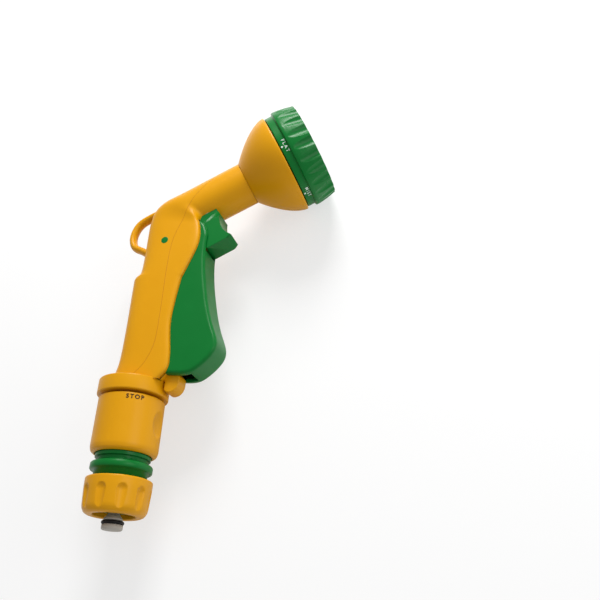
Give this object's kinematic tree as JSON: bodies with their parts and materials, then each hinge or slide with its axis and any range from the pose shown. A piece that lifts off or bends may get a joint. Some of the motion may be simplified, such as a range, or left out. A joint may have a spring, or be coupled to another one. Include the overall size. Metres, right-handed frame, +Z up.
{
  "type": "hose spray nozzle",
  "caption": "Garden hose spray nozzle with bent neck, sprung squeeze lever, turning spray selector and a quick connector with water stop.",
  "frame": {"origin": "centre of the footprint, on the ground under the spray head", "axes": "+Y along the hose from its end to the head, +X towards the squeeze lever, +Z up through the side of the handle"},
  "size_m": [0.1222, 0.2404, 0.059],
  "materials": {
    "yellow_plastic": "satin moulded",
    "green_plastic": "satin moulded",
    "dark_green_plastic": "fine texture",
    "pale_plastic": "plain moulded",
    "black_rubber": "smooth",
    "steel": "plain",
    "brass": "turned"
  },
  "bodies": {
    "handle": {"handle_body": "yellow_plastic", "inlet_nipple": "yellow_plastic", "nipple_o_ring": "black_rubber", "lever_pin": "green_plastic", "valve_seat": "pale_plastic", "valve_gland": "pale_plastic", "valve_spring": "steel", "stem_o_ring": "black_rubber", "spray_bell": "yellow_plastic", "port_plate": "pale_plastic", "port_seal": "black_rubber", "port_spring": "steel", "detent_pin": "steel", "detent_spring": "steel", "centre_screw": "steel", "screw_washer": "steel", "dial_o_ring": "black_rubber"},
    "lever": {"trigger_lever": "green_plastic"},
    "pull": {"finger_pull": "green_plastic", "pull_cross_pin": "steel", "valve_stem": "brass", "valve_washer": "black_rubber"},
    "dial": {"selector_dial": "green_plastic", "face_plate": "dark_green_plastic"},
    "connector": {"connector_body": "green_plastic", "latch_jaws": "pale_plastic", "sleeve_spring": "steel"},
    "sleeve": {"release_sleeve": "yellow_plastic"},
    "collet": {"grip_collet": "pale_plastic"},
    "nut": {"hose_nut": "yellow_plastic"},
    "plunger": {"stop_plunger": "pale_plastic", "plunger_o_ring": "black_rubber"}
  },
  "joints": [
    {"name": "lever_squeeze", "type": "hinge", "parent": "handle", "child": "lever", "pos_m": [-0.03249, 0.03669, 0.0295], "axis": [0, 0, -1], "range_deg": [0, 4.2], "stiffness_Nm_per_rad": 2, "springref_deg": -2.86},
    {"name": "pull_slide", "type": "slide", "parent": "handle", "child": "pull", "axis": [0.4399, -0.898, 0], "range_m": [0, 0.00156]},
    {"name": "dial_turn", "type": "hinge", "parent": "handle", "child": "dial", "pos_m": [0.03833, 0.09058, 0.0295], "axis": [0.898, 0.4399, 0], "continuous": true},
    {"name": "connector_swivel", "type": "hinge", "parent": "handle", "child": "connector", "pos_m": [-0.04249, -0.06821, 0.0295], "axis": [0, 1, 0], "continuous": true},
    {"name": "sleeve_release", "type": "slide", "parent": "connector", "child": "sleeve", "axis": [0, -1, 0], "range_m": [0, 0.003], "stiffness_N_per_m": 1000, "springref_m": -0.003},
    {"name": "collet_slide", "type": "slide", "parent": "connector", "child": "collet", "axis": [0, -1, 0], "range_m": [0, 0.0061]},
    {"name": "nut_turn", "type": "hinge", "parent": "collet", "child": "nut", "pos_m": [-0.04249, -0.10321, 0.0295], "axis": [0, 1, 0], "range_deg": [0, 720]},
    {"name": "water_stop_slide", "type": "slide", "parent": "connector", "child": "plunger", "axis": [0, 1, 0], "range_m": [-0.003, 0]}
  ],
  "couplings": [
    {"joint": "pull_slide", "follows": "lever_squeeze", "m_per_rad": 0.021},
    {"joint": "collet_slide", "follows": "nut_turn", "m_per_rad": 0.00047746}
  ]
}
